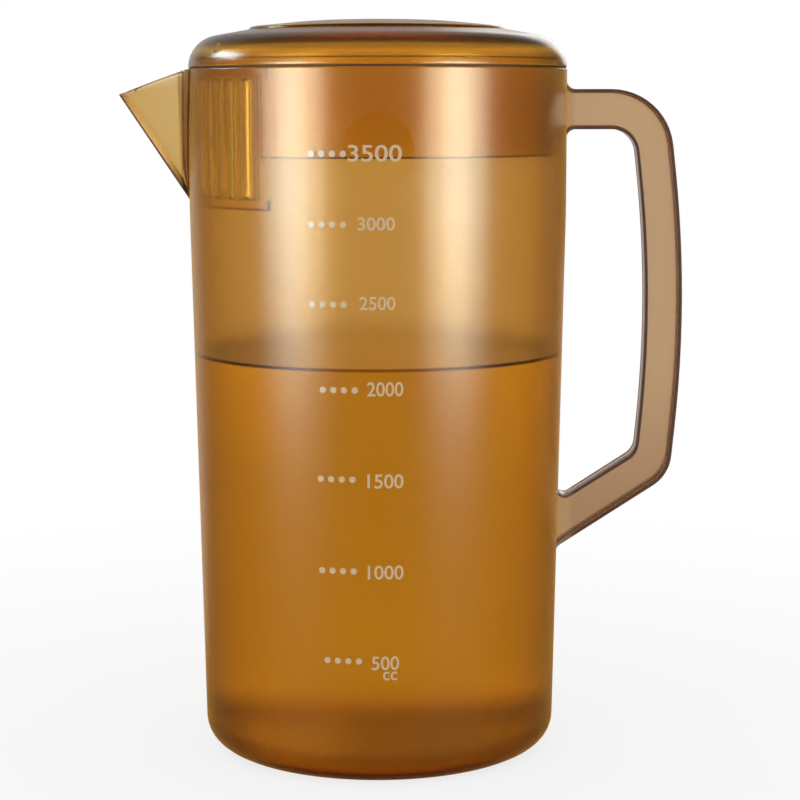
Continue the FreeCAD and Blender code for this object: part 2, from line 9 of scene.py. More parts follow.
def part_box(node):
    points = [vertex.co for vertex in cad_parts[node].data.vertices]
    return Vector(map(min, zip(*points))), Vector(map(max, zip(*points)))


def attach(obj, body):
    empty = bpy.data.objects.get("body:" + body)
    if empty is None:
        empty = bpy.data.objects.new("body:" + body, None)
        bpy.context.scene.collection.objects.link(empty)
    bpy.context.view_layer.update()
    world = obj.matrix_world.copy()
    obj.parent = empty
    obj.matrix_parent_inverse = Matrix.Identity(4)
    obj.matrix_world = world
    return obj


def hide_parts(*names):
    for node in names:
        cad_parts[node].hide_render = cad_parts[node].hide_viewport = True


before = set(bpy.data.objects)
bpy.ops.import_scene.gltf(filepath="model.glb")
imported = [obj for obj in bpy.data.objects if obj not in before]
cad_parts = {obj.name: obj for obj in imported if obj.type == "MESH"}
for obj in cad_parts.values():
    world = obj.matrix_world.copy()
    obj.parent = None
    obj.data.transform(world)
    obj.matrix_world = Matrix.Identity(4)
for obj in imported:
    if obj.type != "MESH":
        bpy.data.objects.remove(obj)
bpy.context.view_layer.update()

MM = 0.001

# Jug wall: a tapered beaker of amber plastic, moulded in one with its floor and its foot ring.
# The outside is satin from the mould, the inside is smoother. A V in the rim opens into the spout.

base_radius = 69.1
mouth_radius = 73.42
taper_height = 212.0
rim_height = 266.5
wall = 2.5
floor_level = 4.5
foot_inside = 50.9
foot_hollow = 1.5
foot_round = 0.6
base_round = 11.2
floor_round = 8.7
taper_round = 400.0
rim_round = 0.7
bore = mouth_radius - wall
taper = (mouth_radius - base_radius) / taper_height


def rounded_line(corners, steps=8, rest=0.2):
    """Straight runs through corners (x, y, radius), with an arc of that radius at each but the two ends.

    An arc touches its two runs at radius / tan(half the angle) from the corner, and its centre lies on the
    bisector at radius / sin(half the angle). A point a short rest outside each arc keeps the runs' shading
    flat.
    """
    spots = np.array([corner[:2] for corner in corners], float)
    chain = [spots[:1]]
    for before, spot, after, radius in zip(spots, spots[1:], spots[2:], [c[2] for c in corners[1:-1]]):
        back = (before - spot) / np.linalg.norm(before - spot)
        ahead = (after - spot) / np.linalg.norm(after - spot)
        half = math.acos(np.clip(back @ ahead, -1.0, 1.0)) / 2
        reach = radius / math.tan(half)
        middle = (back + ahead) / np.linalg.norm(back + ahead)
        centre = spot + middle * radius / math.sin(half)
        turn = math.pi - 2 * half
        share = np.linspace(0.0, 1.0, steps + 1)[:, None]
        first = spot + back * reach - centre
        last = spot + ahead * reach - centre
        arc = centre + (np.sin((1 - share) * turn) * first + np.sin(share * turn) * last) / math.sin(turn)
        chain += [arc[:1] + back * rest, arc, arc[-1:] + ahead * rest]
    chain.append(spots[-1:])
    return np.vstack(chain)


def turned(profile, angles):
    """A grid of places: profile point (r, z) at angle a goes to (r cos a, r sin a, z)."""
    r, z = profile.T
    heights = np.tile(z, (len(angles), 1))
    return np.stack([np.outer(np.cos(angles), r), np.outer(np.sin(angles), r), heights], -1)


def skin(name, grid, sharp=50.0):
    """A closed piece from a grid of places in mm: one quad per cell, doubles at seams and poles merged."""
    rows, columns = grid.shape[:2]
    index = np.arange(rows * columns).reshape(rows, columns)
    quads = np.stack([index[:-1, :-1], index[1:, :-1], index[1:, 1:], index[:-1, 1:]], -1).reshape(-1, 4)
    return sew(name, grid.reshape(-1, 3), quads, sharp)


def sew(name, places, quads, sharp=50.0):
    """A piece from places in mm and quads, merged, faced outwards and shaded smooth up to a sharp angle."""
    mesh = bpy.data.meshes.new(name)
    mesh.from_pydata((places * MM).tolist(), [], quads.tolist())
    shape = bmesh.new()
    shape.from_mesh(mesh)
    bmesh.ops.remove_doubles(shape, verts=shape.verts, dist=1e-7)
    bmesh.ops.dissolve_degenerate(shape, edges=shape.edges, dist=1e-8)
    bmesh.ops.recalc_face_normals(shape, faces=shape.faces)
    shape.to_mesh(mesh)
    shape.free()
    mesh.shade_smooth()
    mesh.set_sharp_from_angle(angle=math.radians(sharp))
    piece = bpy.data.objects.new(name, mesh)
    bpy.context.collection.objects.link(piece)
    return piece


# The spout's channel, a V that runs down towards the jug: its keel and its sides cut the rim
channel_tip = (-99.77, 258.27)
spout_run = 30.3
lip_rise = 10.9
keel_fall = 45.7
spout_half_width = 16.0
channel_fall = keel_fall / spout_run
channel_spread = spout_half_width / (lip_rise + keel_fall)


def channel_floor(x, y):
    """Height of the channel's V: the keel's height there, plus the distance aside over the spread."""
    keel = channel_tip[1] - channel_fall * (x - channel_tip[0])
    return keel + np.abs(y) / channel_spread


wall_line = rounded_line([
    (0.0, foot_hollow, None),
    (foot_inside, foot_hollow, foot_round),
    (foot_inside, 0.0, rim_round),
    (base_radius, 0.0, base_round),
    (mouth_radius, taper_height, taper_round),
    (mouth_radius, rim_height, rim_round),
    (bore, rim_height, rim_round),
    (bore, taper_height, taper_round),
    (base_radius - wall + taper * floor_level, floor_level, floor_round),
    (0.0, floor_level, None),
])
notch_half = 0.21
around = np.linspace(-math.pi, math.pi, 257)
notch = np.linspace(-notch_half, notch_half, 43)
around = np.sort(np.concatenate([around, notch[notch > 0] - math.pi, notch[notch < 0] + math.pi]))
wall_grid = turned(wall_line, around)
over_spout = wall_grid[..., 0] < -bore / 2
cut_height = np.where(over_spout, channel_floor(wall_grid[..., 0], wall_grid[..., 1]), rim_height)
wall_grid[..., 2] = np.minimum(wall_grid[..., 2], cut_height)
jug = skin("jug_wall", wall_grid)


def shading(name):
    """A new material's nodes and links, its Principled shader and its Material Output."""
    material = bpy.data.materials.new(name)
    material.use_nodes = True
    nodes = material.node_tree.nodes
    return material, nodes, material.node_tree.links, nodes["Principled BSDF"], nodes["Material Output"]


def absorb(nodes, links, output, colour, density):
    """Colour that deepens with the way through the plastic."""
    depth = nodes.new("ShaderNodeVolumeAbsorption")
    depth.inputs["Color"].default_value = (*colour, 1.0)
    depth.inputs["Density"].default_value = density
    links.new(depth.outputs[0], output.inputs["Volume"])


def mottle(nodes, links, scale, detail=3.0):
    """Soft noise in the piece's own place, from 0 to 1, over features of 1 / scale metres."""
    place = nodes.new("ShaderNodeTexCoord")
    noise = nodes.new("ShaderNodeTexNoise")
    noise.inputs["Scale"].default_value = scale
    noise.inputs["Detail"].default_value = detail
    links.new(place.outputs["Object"], noise.inputs["Vector"])
    return noise.outputs["Fac"]


def blend_colours(nodes, links, share, low, high):
    """A colour between two, by a share from 0 to 1."""
    mix = nodes.new("ShaderNodeMix")
    mix.data_type = "RGBA"
    mix.inputs["A"].default_value = (*low, 1.0)
    mix.inputs["B"].default_value = (*high, 1.0)
    links.new(share, mix.inputs["Factor"])
    return mix.outputs["Result"]


def between(nodes, links, share, low, high):
    """A number between two, by a share from 0 to 1."""
    span = nodes.new("ShaderNodeMapRange")
    span.inputs["To Min"].default_value = low
    span.inputs["To Max"].default_value = high
    links.new(share, span.inputs["Value"])
    return span.outputs["Result"]


def grain(nodes, links, shader, scale, depth):
    """Soft waves from the mould, as bumps of a given depth in metres."""
    bump = nodes.new("ShaderNodeBump")
    bump.inputs["Strength"].default_value = 0.5
    bump.inputs["Distance"].default_value = depth
    links.new(mottle(nodes, links, scale), bump.inputs["Height"])
    links.new(bump.outputs["Normal"], shader.inputs["Normal"])


plastic_bend = 1.57
tint_scale = 60.0
satin_scale = 900.0
satin_swing = 0.015
wave_scale = 45.0
wave_depth = 0.0001
inner_gloss = 0.4
patch_place = (0.9, -mouth_radius, 237.1)
patch_radius = 13.0
patch_edge = 0.4
patch_gloss = 0.5


def frosted_plastic(name, rough, clear, pale, deep, glow, density):
    """Satin amber plastic: a share of clear depth, a mottled tint, and colour that grows with depth."""
    material, nodes, links, shader, output = shading(name)
    shader.inputs["Transmission Weight"].default_value = clear
    shader.inputs["IOR"].default_value = plastic_bend
    tint = blend_colours(nodes, links, mottle(nodes, links, tint_scale), deep, pale)
    links.new(tint, shader.inputs["Base Color"])
    place = nodes.new("ShaderNodeTexCoord")
    apart = nodes.new("ShaderNodeVectorMath")
    apart.operation = "DISTANCE"
    apart.inputs[1].default_value = [value * MM for value in patch_place]
    links.new(place.outputs["Object"], apart.inputs[0])
    polish = nodes.new("ShaderNodeMapRange")
    polish.inputs["From Min"].default_value = (patch_radius - patch_edge) * MM
    polish.inputs["From Max"].default_value = (patch_radius + patch_edge) * MM
    polish.inputs["To Min"].default_value = patch_gloss
    polish.inputs["To Max"].default_value = 1.0
    links.new(apart.outputs["Value"], polish.inputs["Value"])
    uneven = nodes.new("ShaderNodeMath")
    uneven.operation = "MULTIPLY"
    fine = mottle(nodes, links, satin_scale)
    links.new(between(nodes, links, fine, rough - satin_swing, rough + satin_swing), uneven.inputs[0])
    links.new(polish.outputs["Result"], uneven.inputs[1])
    side = nodes.new("ShaderNodeAttribute")
    side.attribute_name = "inner_side"
    smooth = nodes.new("ShaderNodeMath")
    smooth.operation = "MULTIPLY"
    links.new(uneven.outputs[0], smooth.inputs[0])
    links.new(between(nodes, links, side.outputs["Fac"], 1.0, inner_gloss), smooth.inputs[1])
    links.new(smooth.outputs[0], shader.inputs["Roughness"])
    grain(nodes, links, shader, wave_scale, wave_depth)
    absorb(nodes, links, output, glow, density)
    return material


def points_of(piece):
    """The piece's points in mm, as rows of x, y and z."""
    spots = np.empty(len(piece.data.vertices) * 3)
    piece.data.vertices.foreach_get("co", spots)
    return spots.reshape(-1, 3).T / MM


def mark_points(piece, name, values):
    """A number on each point of the piece, which its material reads by this name."""
    marks = piece.data.attributes.new(name, "FLOAT", "POINT")
    marks.data.foreach_set("value", values.astype(np.float32))


def wall_radius(z):
    """Outside radius of the wall at a height."""
    return np.minimum(base_radius + taper * z, mouth_radius)


satin = 0.25
wall_glow = (0.83, 0.60, 0.04)
wall_pale = (0.98, 0.97, 0.95)
wall_deep = (0.94, 0.92, 0.88)
wall_density = 590.0
frosted = frosted_plastic("frosted_amber", satin, 1.0, wall_pale, wall_deep, wall_glow, wall_density)
surface = frosted.node_tree.nodes["Principled BSDF"].inputs
surface["Sheen Weight"].default_value = 0.85
surface["Sheen Roughness"].default_value = 0.35
surface["Sheen Tint"].default_value = (1.0, 0.50, 0.08, 1.0)
jug.data.materials.append(frosted)
x, y, z = points_of(jug)
mark_points(jug, "inner_side", (np.hypot(x, y) < wall_radius(z) - wall / 2) & (z > floor_level - 0.1))
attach(jug, "jug")
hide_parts("jug_body")

# Spout: a thin V of the same plastic, moulded on the wall, with a rounded keel and a rounded lip.
# Its two flat sides meet the wall in a small hollow curve, where painted shade darkens them.

spout_reach = 103.8
tip_level = 255.6
spout_root = 72.2
spout_end = -100.64
keel_radius = 2.2
lip_bead = 0.9
bead_fade = 0.8
channel_round = 0.9
channel_most = 0.9
root_hollow = 3.4
root_swing = 5.5
root_power = 1.3
root_climb = 6.0


def spout_sections(shares):
    """Closed V sections from tip (0) to root (1): down one side, round the keel, up, and back by the channel.

    The keel's arc of radius r touches sides that lean by a, so its centre lies r / sin a above the sharp
    keel. Near the tip the lip cuts the arc. At the root the sides swing out in a hollow curve and end on the
    wall's cylinder.
    """
    stations = spout_end + shares * (-spout_root - spout_end)
    gone = (stations + spout_reach) / spout_run
    lip = tip_level + lip_rise * gone
    keel = tip_level - keel_fall * gone
    lean = math.atan2(spout_half_width, lip_rise + keel_fall)
    centre = keel + keel_radius / math.sin(lean)
    most = np.minimum(math.pi / 2 - lean, np.arccos(np.clip((centre - lip) / keel_radius, -1.0, 1.0)))
    half = np.where(most < math.pi / 2 - lean, keel_radius * np.sin(most), spout_half_width * gone)
    share = np.concatenate([[0.0, 0.015], np.linspace(0.1, 0.9, 5), [0.985, 1.0]])
    swept = np.outer(most, np.linspace(-1.0, 1.0, 9))
    arc_y = keel_radius * np.sin(swept)
    arc_z = centre[:, None] - keel_radius * np.cos(swept)
    inside = np.minimum(channel_floor(stations, 0.0), lip - 0.01)
    inner_half = np.minimum((lip - inside) * channel_spread, channel_most * half)
    bead = lip_bead * np.clip(inner_half / bead_fade, 0.0, 1.0)
    side_top = lip - bead
    left_y = -half[:, None] * (1 - share) + arc_y[:, :1] * share
    left_z = side_top[:, None] * (1 - share) + arc_z[:, :1] * share
    over = np.linspace(0.0, math.pi, 9)[1:-1]
    bead_y = ((half + inner_half)[:, None] + (half - inner_half)[:, None] * np.cos(over)) / 2
    bead_z = side_top[:, None] + bead[:, None] * np.sin(over)
    channel_y = inner_half[:, None] * np.linspace(1.0, 0.0, 13) ** 2
    hollow = np.sqrt(channel_y ** 2 + channel_round ** 2) / channel_spread
    channel_z = np.minimum(inside[:, None] + hollow, side_top[:, None])
    y = np.hstack([
        left_y, arc_y[:, 1:-1], -left_y[:, ::-1], bead_y, channel_y, -channel_y[:, -2::-1], -bead_y[:, ::-1],
        left_y[:, :1],
    ])
    z = np.hstack([
        left_z, arc_z[:, 1:-1], left_z[:, ::-1], bead_z, channel_z, channel_z[:, -2::-1], bead_z[:, ::-1],
        left_z[:, :1],
    ])
    bend = np.clip((stations + spout_root + root_hollow) / root_hollow, 0.0, 1.0)
    swing = root_swing * bend ** root_power
    climbed = np.clip((z - keel[:, None] - root_climb) / root_climb, 0.0, 1.0)
    y = y + np.sign(y) * swing[:, None] * climbed
    root = -np.sqrt(spout_root ** 2 - y ** 2)
    x = spout_end + shares[:, None] * (root - spout_end)
    return np.stack([x, y, z], -1)


def capped(grid):
    """The grid with both of its ends closed, each to the middle of its outline."""
    middles = np.repeat(grid[[0, -1]].mean(axis=1, keepdims=True), grid.shape[1], axis=1)
    return np.concatenate([middles[:1], grid, middles[1:]])


along = np.unique(np.concatenate([
    np.linspace(0.0, 0.06, 8), np.linspace(0.06, 0.86, 15), np.linspace(0.86, 1.0, 12),
]))
spout = skin("spout", capped(spout_sections(along)), sharp=40.0)
spout_density = 370.0
thin_frosted = frosted_plastic("frosted_spout", satin, 1.0, wall_pale, wall_deep, wall_glow, spout_density)


def edge_share(nodes, links, axis, start, end):
    """A share from 0 to 1, as a coordinate of the piece's own place goes from start to end, in mm."""
    place = nodes.new("ShaderNodeTexCoord")
    axes = nodes.new("ShaderNodeSeparateXYZ")
    links.new(place.outputs["Object"], axes.inputs[0])
    climb = nodes.new("ShaderNodeMapRange")
    climb.inputs["From Min"].default_value = start * MM
    climb.inputs["From Max"].default_value = end * MM
    links.new(axes.outputs[axis], climb.inputs["Value"])
    return climb.outputs["Result"]


def paint_shade(material, axis, start, end, dark):
    """Painted shade: the material's colour goes over into a dark one along an axis."""
    nodes = material.node_tree.nodes
    links = material.node_tree.links
    tint = nodes["Principled BSDF"].inputs["Base Color"]
    mix = nodes.new("ShaderNodeMix")
    mix.data_type = "RGBA"
    links.new(edge_share(nodes, links, axis, start, end), mix.inputs["Factor"])
    links.new(tint.links[0].from_socket, mix.inputs["A"])
    mix.inputs["B"].default_value = (*dark, 1.0)
    links.new(mix.outputs["Result"], tint)


# Painted shade: the spout's colour darkens over its last millimetre towards the wall.
spout_root_shade = (0.62, 0.47, 0.28)
root_shade_start = -76.7
root_shade_end = -75.9
paint_shade(thin_frosted, "X", root_shade_start, root_shade_end, spout_root_shade)
spout.data.materials.append(thin_frosted)
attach(spout, "jug")
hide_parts("pour_spout")

# Handle: a D of the same plastic, moulded on the wall. A thin web runs between two thin raised edges.
# Both arms flare out a little where they meet the wall. The raised edges have painted shade and are more
# matt.

handle_top = 258.6
arm_depth = 15.4
grip_width = 14.2
handle_root = 73.0
low_root = 78.9
slope = math.radians(32.9)
belly = (121.5, 177.4)
bow = 478.0
back_top = 112.0
back_low = 114.8
flare = 3.6
half_thickness = 6.5
half_web = 1.5
edge = 0.9
edge_round = 0.35
web_round = 0.5
back_rounds = (24.4, 15.8)
grip_rounds = (9.8, 7.6)
low_arm_depth = 14.8
low_wall = wall_radius(low_root)
low_end_x = 70.2
top_tail = flare + 0.6
low_tail = flare + 1.6


def crossing(first, lean, second, tilt):
    """Where a line x = first.x - lean (z - first.z) meets a line z = second.z + tilt (x - second.x)."""
    x = (first[0] - lean * (second[1] - tilt * second[0] - first[1])) / (1 + lean * tilt)
    return x, second[1] + tilt * (x - second[0])


under_low = low_root + (back_low - low_wall) * math.tan(slope)
lean_top = (belly[0] - back_top) / (handle_top - belly[1])
lean_low = -(belly[0] - back_low) / (belly[1] - under_low)


def handle_edge(inset, top, low_rise, radii):
    """One edge of the D in the XZ plane, from the upper root to the lower, as points with rounded corners."""
    middle = (belly[0] - inset, belly[1])
    low = low_root + low_rise
    tilt = math.tan(slope)
    up = crossing(middle, lean_top, (0.0, top), 0.0)
    down = crossing(middle, lean_low, (low_wall, low), tilt)
    outward = 1.0 if inset == 0 else -1.0
    low_end = low + (low_end_x - low_wall) * tilt
    return rounded_line([
        (handle_root, top + outward * top_tail, None),
        (handle_root, top, flare),
        (*up, radii[0]),
        (*middle, bow),
        (*down, radii[1]),
        (low_end_x, low_end, flare),
        (low_end_x, low_end - outward * low_tail, None),
    ], steps=12, rest=0.01)


outside = handle_edge(0.0, handle_top, 0.0, back_rounds)
inside = handle_edge(grip_width, handle_top - arm_depth, low_arm_depth / math.cos(slope), grip_rounds)
across = np.linalg.norm(inside - outside, axis=1)

# Half of the section, as distance in from an edge and distance aside: round the raised edge to the web
depth_in, aside = rounded_line([
    (0.0, 0.0, None),
    (0.0, half_thickness, edge_round),
    (edge, half_thickness, edge_round),
    (edge + 0.1, half_web, web_round),
    (edge + 3.0, half_web, None),
], steps=4, rest=0.1).T
from_back = depth_in / across[:, None]
share = np.hstack([from_back, 1 - from_back[:, ::-1]])
share = np.hstack([share, share[:, ::-1]])
aside = np.r_[aside, aside[::-1]]
aside = np.r_[aside, -aside[::-1]]
spine = outside[:, None, :] + (inside - outside)[:, None, :] * share[..., None]
handle_grid = np.stack([spine[..., 0], np.broadcast_to(aside, share.shape), spine[..., 1]], -1)
handle = skin("handle_loop", capped(handle_grid), sharp=60.0)
handle_pale = (0.98, 0.95, 0.90)
handle_deep = (0.94, 0.91, 0.85)
handle_glow = (0.66, 0.41, 0.05)
handle_density = 580.0
low_arm_shade = (0.75, 0.66, 0.60)
low_arm_start = 150.0
low_arm_end = 95.0
rim_shade = (0.42, 0.20, 0.06)
rim_matt = 0.4
handle_root_shade = (0.86, 0.78, 0.66)
end_shade_start = 77.5
end_shade_full = 75.0
rim_start = half_web + 1.5
rim_end = half_web + 2.5
handle_plastic = frosted_plastic(
    "frosted_handle", satin, 0.95, handle_pale, handle_deep, handle_glow, handle_density
)
# Painted shade: the lower arm darkens towards its low end.
paint_shade(handle_plastic, "Z", low_arm_start, low_arm_end, low_arm_shade)
# Painted shade: both raised edges are painted dark; their roughness is raised below as well.
paint_shade(handle_plastic, "Y", -rim_start, -rim_end, rim_shade)
paint_shade(handle_plastic, "Y", rim_start, rim_end, rim_shade)
# Painted shade: both arms darken where they meet the wall.
paint_shade(handle_plastic, "X", end_shade_start, end_shade_full, handle_root_shade)
nodes = handle_plastic.node_tree.nodes
links = handle_plastic.node_tree.links
rough = nodes["Principled BSDF"].inputs["Roughness"]
for side in (-1.0, 1.0):
    matt = nodes.new("ShaderNodeMath")
    matt.operation = "MULTIPLY_ADD"
    links.new(edge_share(nodes, links, "Y", side * rim_start, side * rim_end), matt.inputs[0])
    matt.inputs[1].default_value = rim_matt
    links.new(rough.links[0].from_socket, matt.inputs[2])
    links.new(matt.outputs[0], rough)
handle.data.materials.append(handle_plastic)
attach(handle, "jug")
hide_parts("handle")

# Printed levels: four dots and a number at each level, in cream ink on the outside of the wall.
# The ink is screen printed, thin and a little uneven.

ink_lift = 0.03
ink_half = 0.02
stroke_gain = 0.012
ink_deep = (0.70, 0.50, 0.29)
ink_pale = (0.78, 0.58, 0.36)
ink_rough = 0.28
ink_bend = 1.9
ink_scale = 700.0


def wrap(arc, z, lift):
    """A place on the wall: arc mm to the right of the front line, at a height, lifted off the surface."""
    turn = arc / wall_radius(z)
    r = wall_radius(z) + lift
    return np.stack([r * np.sin(turn), -r * np.cos(turn), z], -1)


def number(name, words, left, width, low, height):
    """A number in the built-in font, stretched to a width and a height, and wrapped round the wall."""
    curve = bpy.data.curves.new(name, "FONT")
    curve.body = words
    curve.extrude = 1.0
    curve.resolution_u = 6
    curve.offset = stroke_gain
    lettering = bpy.data.objects.new(name, curve)
    bpy.context.collection.objects.link(lettering)
    bpy.context.view_layer.update()
    mesh = bpy.data.meshes.new_from_object(lettering)
    bpy.data.objects.remove(lettering)
    fine = bmesh.new()
    fine.from_mesh(mesh)
    bmesh.ops.remove_doubles(fine, verts=fine.verts, dist=1e-5)
    bmesh.ops.triangulate(fine, faces=fine.faces)
    bmesh.ops.subdivide_edges(fine, edges=fine.edges, cuts=2, use_grid_fill=True)
    bmesh.ops.triangulate(fine, faces=fine.faces)
    fine.to_mesh(mesh)
    fine.free()
    flat = np.empty(len(mesh.vertices) * 3)
    mesh.vertices.foreach_get("co", flat)
    flat = flat.reshape(-1, 3)
    least = flat.min(axis=0)
    most = flat.max(axis=0)
    share = (flat - least) / (most - least)
    lift = ink_lift + ink_half * (2 * share[:, 2] - 1)
    places = wrap(left + width * share[:, 0], low + height * share[:, 1], lift)
    mesh.vertices.foreach_set("co", (places * MM).ravel())
    mesh.update()
    printed = bpy.data.objects.new(name, mesh)
    bpy.context.collection.objects.link(printed)
    return printed


def dots(name, left, right, z, size):
    """Four flat, round dots on the wall, each closed by a rim and a back."""
    turn = np.linspace(0, 2 * math.pi, 33)
    ring = np.stack([np.cos(turn), np.sin(turn)])
    radius = np.array([0.0, 0.5, 1.0, 1.0, 0.5, 0.0]) * size / 2
    lift = ink_lift + ink_half * np.array([1.0, 1.0, 1.0, -1.0, -1.0, -1.0])
    arc = np.outer(ring[0], radius)
    height = z + np.outer(ring[1], radius)
    middles = np.linspace(left + size / 2, right - size / 2, 4)
    grids = [wrap(middle + arc, height, lift[None, :]) for middle in middles]
    rows, columns = arc.shape
    index = np.arange(rows * columns).reshape(rows, columns)
    quads = np.stack([index[:-1, :-1], index[1:, :-1], index[1:, 1:], index[:-1, 1:]], -1).reshape(-1, 4)
    every = np.concatenate([quads + step * rows * columns for step in range(4)])
    return sew(name, np.concatenate([grid.reshape(-1, 3) for grid in grids]), every)


ink, nodes, links, shader, output = shading("cream_ink")
links.new(
    blend_colours(nodes, links, mottle(nodes, links, ink_scale), ink_deep, ink_pale),
    shader.inputs["Base Color"],
)
shader.inputs["Roughness"].default_value = ink_rough
shader.inputs["IOR"].default_value = ink_bend

dots_width = 14.3
dot_size = 2.4
levels = [
    ("3500", 235.4, -25.0, 232.6, -10.1, 19.4, 6.0),
    ("3000", 210.1, -25.1, 208.0, -6.6, 13.4, 4.8),
    ("2500", 181.2, -25.0, 179.3, -6.1, 13.0, 4.9),
    ("2000", 150.0, -21.1, 147.8, -3.5, 13.2, 5.3),
    ("1500", 117.0, -22.1, 113.8, -3.5, 13.2, 5.3),
    ("1000", 82.7, -21.8, 79.7, -3.5, 13.2, 5.3),
    ("500", 48.6, -20.0, 45.3, -2.2, 10.2, 5.3),
]
marks = [number("unit_cc", "cc", 2.0, 5.3, 41.4, 3.4)]
for words, dots_level, dots_left, digits_low, digits_left, digits_width, digits_height in levels:
    marks.append(dots(f"dots_{words}", dots_left, dots_left + dots_width, dots_level, dot_size))
    marks.append(number(f"number_{words}", words, digits_left, digits_width, digits_low, digits_height))
for mark in marks:
    mark.data.materials.append(ink)
    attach(mark, "jug")

# Liquid: amber detergent that fills the jug to a little above the 2000 level.
# It wets the wall, so its edge climbs a little, and it reaches just into the wall's skin, as one sees no gap.

liquid_level = 156.2
wet = 0.04
edge_level = liquid_level + 1.5
edge_reach = 1.6
edge_curve = 2.0
liquid_line = rounded_line([
    (0.0, floor_level - wet, None),
    (base_radius - wall + taper * floor_level + wet, floor_level - wet, floor_round),
    (base_radius - wall + taper * edge_level + wet, edge_level, 0.05),
    (base_radius - wall + taper * liquid_level - edge_reach, liquid_level, edge_curve),
    (0.0, liquid_level, None),
])
full_turn = np.linspace(0, 2 * math.pi, 193)
liquid = skin("liquid", turned(liquid_line, full_turn))
liquid_deep = (0.95, 0.89, 0.36)
liquid_pale = (0.97, 0.92, 0.42)
liquid_glow = (0.955, 0.845, 0.02)
meniscus_shade = (0.30, 0.15, 0.02)
liquid_scale = 25.0
liquid_density = 14.0
amber_liquid, nodes, links, shader, output = shading("amber_liquid")
shader.inputs["Transmission Weight"].default_value = 1.0
shader.inputs["IOR"].default_value = 1.34
shader.inputs["Roughness"].default_value = 0.05
links.new(
    blend_colours(nodes, links, mottle(nodes, links, liquid_scale), liquid_deep, liquid_pale),
    shader.inputs["Base Color"],
)
# Painted shade: a thin dark band on the edge that climbs the wall, for the dark line at the liquid's surface.
paint_shade(amber_liquid, "Z", liquid_level + 0.1, liquid_level + 0.4, meniscus_shade)
absorb(nodes, links, output, liquid_glow, liquid_density)
liquid.data.materials.append(amber_liquid)
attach(liquid, "jug")

# Gasket: a flat ring of soft, dark silicone, moulded in one piece.
# It lies between the rim and the lid's flange, and the lid turns on it.

gasket_inside = 70.8
gasket_outside = 73.0
gasket_middle = (gasket_inside + gasket_outside) / 2
gasket_low = 266.52
gasket_top = 267.08
gasket_round = 0.15
gasket_line = rounded_line([
    (gasket_middle, gasket_low, None),
    (gasket_inside, gasket_low, gasket_round),
    (gasket_inside, gasket_top, gasket_round),
    (gasket_outside, gasket_top, gasket_round),
    (gasket_outside, gasket_low, gasket_round),
    (gasket_middle, gasket_low, None),
], steps=4, rest=0.02)
gasket = skin("gasket_ring", turned(gasket_line, full_turn))
gasket_deep = (0.055, 0.020, 0.006)
gasket_pale = (0.075, 0.030, 0.010)
silicone_scale = 400.0
silicone, nodes, links, shader, output = shading("dark_silicone")
links.new(
    blend_colours(nodes, links, mottle(nodes, links, silicone_scale), gasket_deep, gasket_pale),
    shader.inputs["Base Color"],
)
shader.inputs["Roughness"].default_value = 0.5
gasket.data.materials.append(silicone)
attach(gasket, "gasket")
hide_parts("lid_gasket")

# Lid dome: a glossy, moulded shell of clear amber plastic with a round shoulder.
# A flat flange lies on the gasket, and a seat in the middle holds the top disc.

lid_floor = 267.15
lid_radius = 73.3
lid_wall = 2.4
flange_inside = 69.45
flange_middle = 71.0
shoulder_level = 277.4
shoulder_round = 12.3
under_level = 275.0
under_round = 6.0
seat_outside = 50.1
seat_inside = 45.1
seat_level = 279.8
seat_rim = 281.4
dome_line = rounded_line([
    (flange_middle, lid_floor, None),
    (lid_radius, lid_floor, 0.35),
    (lid_radius - 0.8, shoulder_level, shoulder_round),
    (seat_outside, seat_rim, 0.6),
    (seat_outside, seat_level, 0.2),
    (seat_inside, seat_level, 0.3),
    (seat_inside, seat_level - lid_wall, 0.3),
    (lid_radius - lid_wall, under_level, under_round),
    (lid_radius - lid_wall, lid_floor + lid_wall, 0.4),
    (flange_inside, lid_floor + lid_wall, 0.4),
    (flange_inside, lid_floor, 0.2),
    (flange_middle, lid_floor, None),
], steps=8, rest=0.1)
dome = skin("lid_shell", turned(dome_line, full_turn))
lid_tint_scale = 45.0
lid_gloss_scale = 300.0


def clear_plastic(name, clear, bend, pale, deep, rough, glow, density):
    """Glossy amber plastic: a share of clear depth, its bend of light, a mottled tint, colour by depth."""
    material, nodes, links, shader, output = shading(name)
    shader.inputs["Transmission Weight"].default_value = clear
    shader.inputs["IOR"].default_value = bend
    tint = blend_colours(nodes, links, mottle(nodes, links, lid_tint_scale), deep, pale)
    links.new(tint, shader.inputs["Base Color"])
    gloss = between(nodes, links, mottle(nodes, links, lid_gloss_scale), *rough)
    links.new(gloss, shader.inputs["Roughness"])
    absorb(nodes, links, output, glow, density)
    return material


lid_pale = (0.91, 0.65, 0.20)
lid_deep = (0.87, 0.61, 0.16)
lid_rough = (0.17, 0.22)
lid_glow = (0.87, 0.64, 0.03)
lid_bend = 1.65
lid_density = 150.0
clear = clear_plastic("clear_amber", 1.0, lid_bend, lid_pale, lid_deep, lid_rough, lid_glow, lid_density)
dome.data.materials.append(clear)
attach(dome, "lid")
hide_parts("lid_dome")

# Top disc: a crowned cap of the same glossy plastic, with a rounded edge.
# It is set into the seat of the dome and stands a little proud of it.

disc_radius = 49.8
disc_foot = 45.8
disc_low = 279.85
disc_top = 285.0
disc_wall = 2.2
disc_edge = 282.4
foot_top = 280.6
crown_bend = 24.9
crown_round = 200.0
disc_line = rounded_line([
    (0.0, disc_top - disc_wall, None),
    (crown_bend, disc_top - disc_wall, crown_round),
    (disc_foot, foot_top, 0.4),
    (disc_foot, disc_low, 0.2),
    (disc_radius, disc_low, 0.3),
    (disc_radius, disc_edge, 1.4),
    (crown_bend, disc_top, crown_round),
    (0.0, disc_top, None),
], steps=8, rest=0.1)
disc = skin("lid_disc", turned(disc_line, full_turn))
disc.data.materials.append(clear)
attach(disc, "lid")
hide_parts("lid_top_disc")
